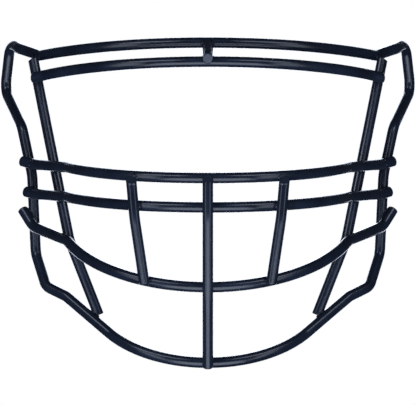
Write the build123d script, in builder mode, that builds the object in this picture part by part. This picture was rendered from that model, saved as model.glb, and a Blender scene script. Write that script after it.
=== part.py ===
"""Face guard of an American football helmet: eleven bent steel wires, cross-wire welded into one cage.

Frame: +Z up, -Y to the front, +X to the wearer's left, origin at the centre of the guard's box.
Each wire is drawn as its centre line and swept with the round section. Every place where two wires
are welded is worked out from the two centre lines, so the wires stay in contact when a size changes.
"""
from build123d import *
from math import asin, atan2, cos, sin
import os

# ---------------------------------------------------------------- overall size
overall_width = 241.4      # over the two side bends
overall_depth = 149.0      # front of the centre wire to the back of the side bends
overall_height = 192.0     # top of the top bar to the foot of the centre wire

# ---------------------------------------------------------------- wire and welds
core_d = 5.7               # hard-drawn steel wire
coat = 0.3                 # nylon coat, on every face
set_down = 0.9             # how far a weld presses one wire into the other
weld_reach = 3.5           # radius of the metal squeezed out round a weld
end_round = 0.6            # the coat rounds every cut end
wide_weld_reach = 5.2      # the same where two wires cross at a slant
strut_weld_reach = 4.0     # and at both ends of the strut
strut_weld_back = 2.8      # the weld under the strut lies this far behind the brow bar's contact
end_weld_shift = 1.2       # a weld at the end of a wire lies this far back from the seat
upright_cut = (0, -0.54, 0.84)     # outward normals of the slanted end cuts
side_cut = (0.5, 0, 0.87)
brow_cut = (0.87, 0.5, 0)
brow_reach = -0.4          # the brow bar's cut crosses its axis this far past its seat
strut_cut = (0, -0.98, -0.2)
strut_proud = 0.65         # the strut is cut off this far in front of the brow bar
tight_bend = 9.0           # centre-line radius of the corners of the frame
easy_bend = 16.0           # centre-line radius of the slight kinks
long_bend = 45.0           # centre-line radius of the bends of the upright wires

# ---------------------------------------------------------------- heights of the cross bars
eye_z = 14.3
nose_z = -2.6
jaw_z = -48.6
chin_lift = 0.5            # axis of the chin bar above the lowest one the overall height allows
brow_drop = 11.2           # top bar down to brow bar
foot_drop = 2.55           # chin bar down to the end of the centre wire, on its axis
brow_sag = 9.8             # the brow bar falls this far from its middle to its seats

# ---------------------------------------------------------------- plan of the cross bars
jaw_back = 7.0             # jaw bar behind the eye bar, on the centre plane
chin_back = 29.0           # chin behind the eye bar, on the centre plane
temple_recess = 45.0       # top bar: from its middle back to its kink
brow_recess = 46.2         # brow bar: from its middle back to its kink
brow_end_run = (0.85, 0.5, -0.18)      # direction of its ends
brow_lap = 9.0             # from that kink to its seat
cheek_recess = 57.0        # eye and nose bars: from the middle back to the first kink
cheek_inset = 36.0         # first kink, in from the side bends
flare_inset = 16.1         # second kink, in from the side bends
flare_recess = 30.0        # from the first kink back to the second
tail = 3.0                 # straight end of a rolled arc, before its kink
eye_rises = (6.3, 8.1)     # eye bar: from the middle up to each kink
nose_rises = (6.1, 7.9)    # nose bar: the same
eye_tip_run = (6.6, 5.15, 1.9)     # cut end of each bar, from its second kink
nose_tip_run = (4.5, 3.5, 1.3)
jaw_tip_run = (6.3, 6.0, 10.0)
jaw_run_back = 31.0        # jaw bar, between its kinks: how far it runs back
jaw_run_rise = 8.1         # and up

# ---------------------------------------------------------------- where wires meet
side_on_eye = 11.95        # the side bar crosses each bar this far outside its first kink
side_on_nose = 8.45
side_top_drop = 4.5        # side bar, below the top bar: end of the stock
side_end_drop = 8.4        # and its slanted cut
kink_drop = 7.0            # and its seat on the frame's kink
side_bend_rise = 27.2      # side bar's bend above the jaw bar's middle
jaw_on_side = 0.9          # the jaw bar crosses the side bar this far above that bend
frame_on_eye = 5.4        # the frame crosses each bar this far outside its second kink
frame_on_nose = 3.5
frame_on_jaw = 3.6
side_on_chin = 50.7        # the side bar's foot lies this far in from the side bends
foot_lift = 0.7            # its cut above that seat

# ---------------------------------------------------------------- bends of the frame
waist_rise = 1.9           # above the eye bar's middle
hip_rise = 19.1            # above the jaw bar's middle
shoulder_rise = 30.0       # above the eye bar's middle
horn_mid_at = (-7.9, 18.0, -3.1)   # from the side bends, the top bar's kink and the top
horn_top_at = (-2.3, -8.0, 0.2)    # from the side bends, the back and the top
side_corner_at = (0.9, 2.2, -27.4)
chin_corner_at = (-61.6, 24.0, 15.9)   # from the side bends and the chin bar's middle
jowl_at = (-35.3, 20.0, 38.1)      # from the side bends, the corner before it and the chin
jowl_top_at = (-23.6, 8.0, 43.8)

# ---------------------------------------------------------------- short uprights
short_x_eye = 41.8         # where their seats lie on each cross bar, off the centre plane
short_x_nose = 40.4
short_x_jaw = 34.6
short_end_drop = 2.3       # its slanted cut below the eye bar's axis
short_foot_drop = 1.6      # its foot below the jaw bar's axis
centre_end_drop = 0.5      # the centre wire's slanted cut below the eye bar's axis
bend_drop = 6.0            # first bend of every upright below the nose bar
low_bend_drop = 8.0        # second bend of the centre wire below the jaw bar

# ================================================================ derived values
wire_d = core_d + 2 * coat
wire_r = wire_d / 2
pitch = wire_d - set_down                              # between the axes of two welded wires
side_x = overall_width / 2 - wire_r
back_y = overall_depth / 2 - wire_r
front_y = -overall_depth / 2 + wire_r + pitch          # axis of the eye bar on the centre plane
top_z = overall_height / 2 - wire_r
chin_z = -overall_height / 2 + wire_r + chin_lift
cheek_x = side_x - cheek_inset
flare_x = side_x - flare_inset

RIGHTWARD = Vector(1, 0, 0)
FORWARD = Vector(0, -1, 0)


# ================================================================ helpers for centre lines
def at_x(a, b, x):
    """Point at X = x on the straight line through a and b."""
    return a + (b - a) * ((x - a.X) / (b.X - a.X))


def at_z(a, b, z):
    """Point at Z = z on the straight line through a and b."""
    return a + (b - a) * ((z - a.Z) / (b.Z - a.Z))


def against(base, base_dir, start, side, gap=pitch):
    """Point `gap` off the axis point `base`, towards `side`, for a straight run that comes from `start`."""
    seat = base
    for _ in range(4):
        normal = base_dir.cross(seat - start).normalized()
        seat = base + normal * (gap if normal.dot(side) > 0 else -gap)
    return seat


def roll(front, kink):
    """Radius and rising direction of the arc that leaves `front` along X and, with its tail, meets `kink`."""
    rise = Vector(0, kink.Y - front.Y, kink.Z - front.Z)
    radius = (kink.X**2 + rise.length**2 - tail**2) / (2 * rise.length)
    return radius, rise.normalized()


def on_roll(front, kink, x):
    """Point and tangent at X = x on that arc."""
    radius, rise = roll(front, kink)
    turn = asin(x / radius)
    return (
        front + RIGHTWARD * x + rise * (radius * (1 - cos(turn))),
        RIGHTWARD * cos(turn) + rise * sin(turn),
    )


def roll_end(front, kink):
    """Where that arc ends and its straight tail begins."""
    radius, rise = roll(front, kink)
    reach = (kink - front).dot(rise)
    turn = atan2(kink.X, radius - reach) - atan2(tail, radius)
    return on_roll(front, kink, radius * sin(turn))[0]


# ================================================================ centre lines, wearer's left half
# Eye bar and nose bar: one plan, rolled across the front, kinked at the cheek and again at the frame.
def cheek_bar(front, rises, tip_run):
    """Stations of the eye or nose bar: front, cheek kink, flare kink and cut end."""
    cheek = Vector(cheek_x, front.Y + cheek_recess, front.Z + rises[0])
    flare = Vector(flare_x, cheek.Y + flare_recess, front.Z + rises[1])
    return front, cheek, flare, flare + Vector(*tip_run)


eye_front, eye_cheek, eye_flare, eye_tip = cheek_bar(Vector(0, front_y, eye_z), eye_rises, eye_tip_run)
nose_front, nose_cheek, nose_flare, nose_tip = cheek_bar(Vector(0, front_y, nose_z), nose_rises, nose_tip_run)

# Side bar: a straight run that lies inside the eye bar and the nose bar and carries on to the brow.
inward = Vector(-1, 0, 0)
eye_seat = at_x(eye_cheek, eye_flare, cheek_x + side_on_eye)
nose_seat = at_x(nose_cheek, nose_flare, cheek_x + side_on_nose)
side_nose = against(nose_seat, nose_flare - nose_cheek, eye_seat, inward)
side_eye = against(eye_seat, eye_flare - eye_cheek, side_nose, inward)
side_nose = against(nose_seat, nose_flare - nose_cheek, side_eye, inward)
side_top = at_z(side_nose, side_eye, top_z - side_top_drop)
side_end = at_z(side_nose, side_eye, top_z - side_end_drop)
side_bend = at_z(side_nose, side_eye, jaw_z + side_bend_rise)

# Jaw bar: its side run crosses in front of the side bar, just above that bar's bend.
jaw_run = Vector(flare_x - cheek_x, jaw_run_back, jaw_run_rise)
jaw_at_side = at_z(side_nose, side_eye, side_bend.Z + jaw_on_side)
jaw_normal = jaw_run.cross(side_top - side_bend).normalized()
jaw_seat = jaw_at_side + jaw_normal * (pitch if jaw_normal.X > 0 else -pitch)
jaw_front = Vector(0, front_y + jaw_back, jaw_z)
jaw_cheek = at_x(jaw_seat, jaw_seat + jaw_run, cheek_x)
jaw_flare = at_x(jaw_seat, jaw_seat + jaw_run, flare_x)
jaw_tip = jaw_flare + Vector(*jaw_tip_run)

# Frame side: it lies behind and inside the ends of the nose bar and the jaw bar, then the eye bar.
behind = Vector(-1, 1, 0)
nose_end_seat = at_x(nose_flare, nose_tip, flare_x + frame_on_nose)
jaw_end_seat = at_x(jaw_flare, jaw_tip, flare_x + frame_on_jaw)
eye_end_seat = at_x(eye_flare, eye_tip, flare_x + frame_on_eye)
frame_jaw = against(jaw_end_seat, jaw_tip - jaw_flare, nose_end_seat, behind)
frame_nose = against(nose_end_seat, nose_tip - nose_flare, frame_jaw, behind)
frame_jaw = against(jaw_end_seat, jaw_tip - jaw_flare, frame_nose, behind)
frame_waist = at_z(frame_jaw, frame_nose, eye_z + waist_rise)
frame_hip = at_z(frame_jaw, frame_nose, jaw_z + hip_rise)
frame_eye = against(eye_end_seat, eye_tip - eye_flare, frame_waist, behind)
frame_shoulder = at_z(frame_waist, frame_eye, eye_z + shoulder_rise)

# Frame: top bar, kink against the side bar, horn, side bend, then down the side and round the chin.
kink_seat = at_z(side_nose, side_eye, top_z - kink_drop)
horn_mid = Vector(side_x, kink_seat.Y, top_z) + Vector(*horn_mid_at)
temple = against(kink_seat, side_top - side_bend, horn_mid, behind)
top_front = Vector(0, temple.Y - temple_recess, top_z)
horn_top = Vector(side_x, back_y, top_z) + Vector(*horn_top_at)
side_corner = Vector(side_x, back_y, top_z) + Vector(*side_corner_at)
chin_front = Vector(0, front_y + chin_back, chin_z)
chin_corner = Vector(side_x, chin_front.Y, chin_z) + Vector(*chin_corner_at)
jowl = Vector(side_x, chin_corner.Y, chin_z) + Vector(*jowl_at)
jowl_top = Vector(side_x, jowl.Y, chin_z) + Vector(*jowl_top_at)

# Side bar below its bend: it leans in to the back of the chin run.
chin_seat = at_x(chin_corner, jowl, side_x - side_on_chin)
side_chin = against(chin_seat, jowl - chin_corner, side_bend, -FORWARD)
side_foot = at_z(side_bend, side_chin, side_chin.Z + foot_lift)

# Brow bar: it ends on the front of the side bar, one brow_drop under the top bar.
brow_at_side = at_z(side_nose, side_eye, top_z - brow_drop - brow_sag)
brow_dir = Vector(*brow_end_run).normalized()
brow_normal = brow_dir.cross(side_top - side_bend).normalized()
brow_seat = brow_at_side + brow_normal * (pitch if brow_normal.dot(FORWARD) > 0 else -pitch)
brow_kink = brow_seat - brow_dir * brow_lap
brow_front = Vector(0, brow_kink.Y - brow_recess, top_z - brow_drop)

# Centre wire: in front of the eye, nose, jaw and chin bars, bent below the nose bar and the jaw bar.
centre_eye = against(eye_front, RIGHTWARD, nose_front, FORWARD)
centre_nose = against(nose_front, RIGHTWARD, centre_eye, FORWARD)
centre_eye = against(eye_front, RIGHTWARD, centre_nose, FORWARD)
centre_top = at_z(centre_nose, centre_eye, eye_z + wire_r)
centre_end = at_z(centre_nose, centre_eye, eye_z - centre_end_drop)
centre_bend = at_z(centre_nose, centre_eye, nose_z - bend_drop)
centre_jaw = against(jaw_front, RIGHTWARD, centre_bend, FORWARD)
centre_low_bend = at_z(centre_bend, centre_jaw, jaw_z - low_bend_drop)
centre_chin = against(chin_front, RIGHTWARD, centre_low_bend, FORWARD)
centre_foot = at_z(centre_low_bend, centre_chin, chin_z - foot_drop)

# Short upright: in front of the eye, nose and jaw bars, off the centre, with the centre wire's bend.
eye_at_short, eye_dir = on_roll(eye_front, eye_cheek, short_x_eye)
nose_at_short, nose_dir = on_roll(nose_front, nose_cheek, short_x_nose)
jaw_at_short, jaw_dir = on_roll(jaw_front, jaw_cheek, short_x_jaw)
short_eye = against(eye_at_short, eye_dir, nose_at_short, FORWARD)
short_nose = against(nose_at_short, nose_dir, short_eye, FORWARD)
short_eye = against(eye_at_short, eye_dir, short_nose, FORWARD)
short_top = at_z(short_nose, short_eye, eye_at_short.Z + wire_r)
short_end = at_z(short_nose, short_eye, eye_at_short.Z - short_end_drop)
short_bend = at_z(short_nose, short_eye, nose_z - bend_drop)
short_jaw = against(jaw_at_short, jaw_dir, short_bend, FORWARD)
short_foot = at_z(short_bend, short_jaw, jaw_at_short.Z - short_foot_drop)

# Strut: from the top bar to the brow bar, lapped halfway over it and cut off square to the front.
strut_lap = against(brow_front, RIGHTWARD, top_front, Vector(0, -1, 1), gap=wire_r)
strut_root = top_front + (strut_lap - top_front).normalized() * pitch
strut_end = strut_lap + (strut_lap - top_front).normalized() * (2 * wire_r)

# ================================================================ routes
with BuildLine() as frame_route:
    top_roll = TangentArc(top_front, roll_end(top_front, temple), tangent=RIGHTWARD)
    chin_roll_end = roll_end(chin_front, chin_corner)
    FilletPolyline(
        top_roll @ 1, temple, horn_mid, horn_top, side_corner, frame_shoulder,
        frame_waist, frame_hip, jowl_top, jowl, chin_corner, chin_roll_end,
        radius=(tight_bend, easy_bend, tight_bend, tight_bend, tight_bend,
                easy_bend, tight_bend, tight_bend, tight_bend, easy_bend),
    )
    TangentArc(chin_roll_end, chin_front, tangent=chin_roll_end - chin_corner)

with BuildLine() as eye_route:
    TangentArc(eye_front, roll_end(eye_front, eye_cheek), tangent=RIGHTWARD)
    FilletPolyline(roll_end(eye_front, eye_cheek), eye_cheek, eye_flare, eye_tip,
                   radius=(easy_bend, tight_bend))
with BuildLine() as nose_route:
    TangentArc(nose_front, roll_end(nose_front, nose_cheek), tangent=RIGHTWARD)
    FilletPolyline(roll_end(nose_front, nose_cheek), nose_cheek, nose_flare, nose_tip,
                   radius=(easy_bend, tight_bend))
with BuildLine() as jaw_route:
    TangentArc(jaw_front, roll_end(jaw_front, jaw_cheek), tangent=RIGHTWARD)
    FilletPolyline(roll_end(jaw_front, jaw_cheek), jaw_cheek, jaw_flare, jaw_tip,
                   radius=(easy_bend, tight_bend))
with BuildLine() as brow_route:
    TangentArc(brow_front, roll_end(brow_front, brow_kink), tangent=RIGHTWARD)
    FilletPolyline(roll_end(brow_front, brow_kink), brow_kink, brow_seat + brow_dir * tail,
                   radius=tight_bend)
with BuildLine() as side_route:
    FilletPolyline(side_top, side_bend, side_foot, radius=tight_bend)
with BuildLine() as centre_route:
    FilletPolyline(centre_top, centre_bend, centre_low_bend, centre_foot, radius=long_bend)
with BuildLine() as short_route:
    FilletPolyline(short_top, short_bend, short_foot, radius=long_bend)
with BuildLine() as strut_route:
    Line(top_front, strut_end)

# ================================================================ solids
def end_edges(rod):
    """Edges round the flat cut ends of a wire."""
    return rod.faces().filter_by(GeomType.PLANE).edges()


def start_of(route):
    """Plane square to a route at its start."""
    return Plane(origin=route.line @ 0, z_dir=route.line % 0)


def facing(normal, point):
    """Plane of a slanted cut through a point of the axis."""
    return Plane(origin=point, z_dir=Vector(*normal).normalized())


# Plain wires, before they are set down into each other.
with BuildPart() as frame_rod:
    with BuildSketch(start_of(frame_route)):
        Circle(wire_r)
    sweep(path=frame_route.line)
    mirror(about=Plane.YZ)

with BuildPart() as eye_rod:
    with BuildSketch(start_of(eye_route)):
        Circle(wire_r)
    sweep(path=eye_route.line)
    mirror(about=Plane.YZ)
    fillet(end_edges(eye_rod), end_round)

with BuildPart() as nose_rod:
    with BuildSketch(start_of(nose_route)):
        Circle(wire_r)
    sweep(path=nose_route.line)
    mirror(about=Plane.YZ)
    fillet(end_edges(nose_rod), end_round)

with BuildPart() as jaw_rod:
    with BuildSketch(start_of(jaw_route)):
        Circle(wire_r)
    sweep(path=jaw_route.line)
    mirror(about=Plane.YZ)
    fillet(end_edges(jaw_rod), end_round)

with BuildPart() as brow_rod:
    with BuildSketch(start_of(brow_route)):
        Circle(wire_r)
    sweep(path=brow_route.line)
    split(bisect_by=facing(brow_cut, brow_seat + brow_dir * brow_reach), keep=Keep.BOTTOM)
    mirror(about=Plane.YZ)
    fillet(end_edges(brow_rod), end_round)

with BuildPart() as side_rod:
    with BuildSketch(start_of(side_route)):
        Circle(wire_r)
    sweep(path=side_route.line)
    split(bisect_by=facing(side_cut, side_end), keep=Keep.BOTTOM)
    fillet(end_edges(side_rod), end_round)

with BuildPart() as centre_rod:
    with BuildSketch(start_of(centre_route)):
        Circle(wire_r)
    sweep(path=centre_route.line)
    split(bisect_by=facing(upright_cut, centre_end), keep=Keep.BOTTOM)
    fillet(end_edges(centre_rod), end_round)

with BuildPart() as short_rod:
    with BuildSketch(start_of(short_route)):
        Circle(wire_r)
    sweep(path=short_route.line)
    split(bisect_by=facing(upright_cut, short_end), keep=Keep.BOTTOM)
    fillet(end_edges(short_rod), end_round)

with BuildPart() as strut_rod:
    with BuildSketch(start_of(strut_route)):
        Circle(wire_r)
    sweep(path=strut_route.line)
    split(bisect_by=facing(strut_cut, brow_front + FORWARD * (wire_r + strut_proud)), keep=Keep.BOTTOM)
    fillet(end_edges(strut_rod).sort_by(Axis.Y)[0], end_round)

short_rod_right = mirror(short_rod.part, about=Plane.YZ)
uprights = [centre_rod.part, short_rod.part, short_rod_right]
cross_bars = [eye_rod.part, nose_rod.part, jaw_rod.part]

# Finished wires: of two welded wires, the one behind carries the dent.
with BuildPart() as centre_wire:
    add(centre_rod.part)

with BuildPart() as short_upright_left:
    add(short_rod.part)

with BuildPart() as short_upright_right:
    add(short_rod_right)

with BuildPart() as eye_bar:
    add(eye_rod.part)
    add(uprights, mode=Mode.SUBTRACT)

with BuildPart() as nose_bar:
    add(nose_rod.part)
    add(uprights, mode=Mode.SUBTRACT)

with BuildPart() as jaw_bar:
    add(jaw_rod.part)
    add(uprights, mode=Mode.SUBTRACT)

with BuildPart() as brow_bar:
    add(brow_rod.part)

with BuildPart() as frame:
    add(frame_rod.part)
    add([centre_rod.part] + cross_bars, mode=Mode.SUBTRACT)

with BuildPart() as side_bar_left:
    add(side_rod.part)
    add(cross_bars + [brow_rod.part, frame_rod.part], mode=Mode.SUBTRACT)

with BuildPart() as side_bar_right:
    mirror(side_bar_left.part, about=Plane.YZ)

with BuildPart() as brow_strut:
    add(strut_rod.part)
    add([frame_rod.part, brow_rod.part], mode=Mode.SUBTRACT)

wires = {
    "frame": frame,
    "brow_bar": brow_bar,
    "eye_bar": eye_bar,
    "nose_bar": nose_bar,
    "jaw_bar": jaw_bar,
    "side_bar_left": side_bar_left,
    "side_bar_right": side_bar_right,
    "centre_wire": centre_wire,
    "short_upright_left": short_upright_left,
    "short_upright_right": short_upright_right,
    "brow_strut": brow_strut,
}


# ================================================================ welds
def weld_bead(base, seat, rods, reach=weld_reach, shift=Vector(0, 0, 0)):
    """Metal squeezed out round the contact of two wires, between an axis point of each."""
    with BuildPart() as bead:
        with Locations(Plane(origin=(base + seat) / 2 + shift, z_dir=seat - base)):
            Sphere(reach, rotation=(0, 0, 45))
        add([rod.part for rod in rods], mode=Mode.SUBTRACT)
    return bead.part


up = Vector(0, 0, end_weld_shift)
strut_weld_shift = (top_front - strut_lap).normalized() * strut_weld_back
inboard = brow_dir * -end_weld_shift
left_welds = {
    "weld_side_frame_top": weld_bead(kink_seat, temple, [side_rod, frame_rod]),
    "weld_side_brow": weld_bead(brow_at_side, brow_seat, [side_rod, brow_rod], shift=inboard),
    "weld_side_eye": weld_bead(eye_seat, side_eye, [side_rod, eye_rod]),
    "weld_side_nose": weld_bead(nose_seat, side_nose, [side_rod, nose_rod]),
    "weld_side_jaw": weld_bead(jaw_at_side, jaw_seat, [side_rod, jaw_rod]),
    "weld_side_frame_foot": weld_bead(chin_seat, side_chin, [side_rod, frame_rod], shift=up),
    "weld_frame_eye": weld_bead(eye_end_seat, frame_eye, [frame_rod, eye_rod], shift=inboard),
    "weld_frame_nose": weld_bead(nose_end_seat, frame_nose, [frame_rod, nose_rod], shift=inboard),
    "weld_frame_jaw": weld_bead(jaw_end_seat, frame_jaw, [frame_rod, jaw_rod], wide_weld_reach),
    "weld_short_eye": weld_bead(eye_at_short, short_eye, [short_rod, eye_rod], shift=-up),
    "weld_short_nose": weld_bead(nose_at_short, short_nose, [short_rod, nose_rod]),
    "weld_short_jaw": weld_bead(jaw_at_short, short_jaw, [short_rod, jaw_rod], shift=up),
}
centre_welds = {
    "weld_centre_eye": weld_bead(eye_front, centre_eye, [centre_rod, eye_rod], shift=-up),
    "weld_centre_nose": weld_bead(nose_front, centre_nose, [centre_rod, nose_rod]),
    "weld_centre_jaw": weld_bead(jaw_front, centre_jaw, [centre_rod, jaw_rod]),
    "weld_centre_frame": weld_bead(chin_front, centre_chin, [centre_rod, frame_rod], shift=up),
    "weld_strut_frame": weld_bead(top_front, strut_root, [strut_rod, frame_rod], strut_weld_reach),
    "weld_strut_brow": weld_bead(
        brow_front, strut_lap, [strut_rod, brow_rod], strut_weld_reach, strut_weld_shift
    ),
}

# ================================================================ labels and export
os.makedirs("parts", exist_ok=True)
pieces = {name: wire.part for name, wire in wires.items()}
pieces.update(centre_welds)
for name, bead in left_welds.items():
    pieces[name + "_left"] = bead
    pieces[name + "_right"] = mirror(bead, about=Plane.YZ)

for name, piece in pieces.items():
    piece.label = name
    export_step(piece, f"parts/{name}.step")
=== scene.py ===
"""Dressed model of a football helmet's face guard: eleven nylon-coated steel wires and thirty welds.

Centre lines are worked out in millimetres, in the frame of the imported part: +Z up, -Y to the front,
+X to the wearer's left. Meshes are made in metres.
"""
import logging
from dataclasses import dataclass, field
from enum import Enum
from math import asin, atan2, cos, pi, radians, sin, sqrt, tan
from typing import Any, Optional, Union

import bpy
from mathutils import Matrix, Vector, noise


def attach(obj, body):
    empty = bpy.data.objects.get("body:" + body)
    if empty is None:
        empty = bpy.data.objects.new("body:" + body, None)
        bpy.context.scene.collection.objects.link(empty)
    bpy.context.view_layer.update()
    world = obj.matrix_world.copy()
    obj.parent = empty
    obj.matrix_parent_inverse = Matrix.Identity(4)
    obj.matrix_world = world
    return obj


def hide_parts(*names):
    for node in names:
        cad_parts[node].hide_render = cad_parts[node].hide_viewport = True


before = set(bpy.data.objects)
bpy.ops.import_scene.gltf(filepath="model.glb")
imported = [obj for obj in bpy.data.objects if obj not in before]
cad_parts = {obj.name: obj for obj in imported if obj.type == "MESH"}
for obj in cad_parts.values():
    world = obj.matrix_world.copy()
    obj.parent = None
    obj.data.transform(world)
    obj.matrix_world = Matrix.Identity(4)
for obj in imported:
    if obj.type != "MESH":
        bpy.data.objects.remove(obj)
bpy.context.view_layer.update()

LOG = logging.getLogger("face_guard")
MM = 0.001
BODY = "root"
RIGHTWARD = Vector((1, 0, 0))
FORWARD = Vector((0, -1, 0))
UPWARD = Vector((0, 0, 1))
SEAT_ROUNDS = 4
FAR_MM = 1000.0

Source = Union[bpy.types.NodeSocket, float, int, bool, tuple]


class Slot(Enum):
    """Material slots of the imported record."""

    WIRE = "coated_wire"
    WELD = "coated_weld"


# ------------------------------------------------------------------ small helpers
def srgb(code: str) -> tuple[float, float, float, float]:
    """Linear colour of an sRGB hex code.

    Args:
        code: Six hex digits, such as "1a2233".

    Returns:
        Red, green, blue and an alpha of 1.
    """
    parts = [int(code[i : i + 2], 16) / 255 for i in (0, 2, 4)]
    linear = [c / 12.92 if c <= 0.04045 else ((c + 0.055) / 1.055) ** 2.4 for c in parts]
    return (linear[0], linear[1], linear[2], 1.0)


def add_node(
    tree: bpy.types.NodeTree,
    kind: str,
    links: Optional[dict[Union[str, int], Source]] = None,
    **settings: Any,
) -> bpy.types.Node:
    """Adds one node with its settings, links and socket values.

    Args:
        tree: The shader or geometry tree.
        kind: The node's type name.
        links: Input socket name or number, to the socket that feeds it or to its plain value.
        **settings: Attributes to set on the node before its sockets are used.

    Returns:
        The new node.
    """
    node = tree.nodes.new(kind)
    for name, value in settings.items():
        setattr(node, name, value)
    for socket, source in (links or {}).items():
        if isinstance(source, bpy.types.NodeSocket):
            tree.links.new(source, node.inputs[socket])
        else:
            node.inputs[socket].default_value = source
    return node


def mirrored(point: Vector) -> Vector:
    """The same point on the other side of the centre plane."""
    return Vector((-point.x, point.y, point.z))


def at_x(a: Vector, b: Vector, x: float) -> Vector:
    """Point at X = x on the straight line through a and b."""
    return a + (b - a) * ((x - a.x) / (b.x - a.x))


def at_z(a: Vector, b: Vector, z: float) -> Vector:
    """Point at Z = z on the straight line through a and b."""
    return a + (b - a) * ((z - a.z) / (b.z - a.z))


def against(base: Vector, base_dir: Vector, start: Vector, side: Vector, gap: float) -> Vector:
    """Seat of a straight run that lies against another wire, settled in a few rounds.

    Args:
        base: Point on the other wire's axis.
        base_dir: Direction of that axis.
        start: Where the straight run comes from.
        side: Rough direction from the other wire to this one.
        gap: Distance between the two axes.

    Returns:
        The point of this run's axis that lies over `base`.
    """
    seat = base.copy()
    for _ in range(SEAT_ROUNDS):
        normal = base_dir.cross(seat - start).normalized()
        seat = base + normal * (gap if normal.dot(side) > 0 else -gap)
    return seat


# ------------------------------------------------------------------ centre lines
@dataclass
class CentreLine:
    """Centre line of one wire, built run by run, as closely spaced points in millimetres."""

    points: list[Vector] = field(default_factory=list)
    chord: float = 1.5

    def run_to(self, end: Vector) -> None:
        """Adds a straight run to `end`."""
        start = self.points[-1]
        count = max(1, round((end - start).length / self.chord))
        self.points += [start.lerp(end, i / count) for i in range(1, count + 1)]

    def roll_to(self, end: Vector, tangent: Vector) -> None:
        """Adds an arc.

        Args:
            end: Where the arc ends.
            tangent: Its direction where it starts.
        """
        start = self.points[-1]
        ahead = tangent.normalized()
        chord = end - start
        aside = chord - ahead * chord.dot(ahead)
        radius = chord.length_squared / (2 * aside.length)
        turn = 2 * atan2(aside.length, chord.dot(ahead))
        inward = aside.normalized()
        count = max(3, round(radius * turn / self.chord))
        for i in range(1, count + 1):
            a = turn * i / count
            self.points.append(start + ahead * (radius * sin(a)) + inward * (radius * (1 - cos(a))))

    def bend_through(self, corners: list[Vector], radii: list[float], end: Vector) -> None:
        """Adds straight runs with a bend at each corner.

        Args:
            corners: Where the straight runs would meet.
            radii: Bend radius at each corner.
            end: Where the last run ends.
        """
        for i, (corner, radius) in enumerate(zip(corners, radii)):
            before = (corner - self.points[-1]).normalized()
            after = ((corners[i + 1] if i + 1 < len(corners) else end) - corner).normalized()
            reach = radius * tan(before.angle(after) / 2)
            self.run_to(corner - before * reach)
            self.roll_to(corner + after * reach, before)
        self.run_to(end)

    def closed_across(self) -> list[Vector]:
        """This half and its mirror image as one closed loop."""
        return self.points + [mirrored(p) for p in reversed(self.points[1:-1])]

    def joined_across(self) -> list[Vector]:
        """This half and its mirror image as one open line, from right to left."""
        return [mirrored(p) for p in reversed(self.points[1:])] + self.points


@dataclass(frozen=True)
class Wire:
    """Stock the guard is bent from, in millimetres."""

    core: float = 5.7
    coat: float = 0.3
    set_down: float = 0.9
    end_round: float = 0.6
    tight: float = 9.0
    easy: float = 16.0
    long: float = 45.0

    @property
    def radius(self) -> float:
        """Radius over the coat."""
        return self.core / 2 + self.coat

    @property
    def pitch(self) -> float:
        """Distance between the axes of two welded wires."""
        return 2 * self.radius - self.set_down


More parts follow.
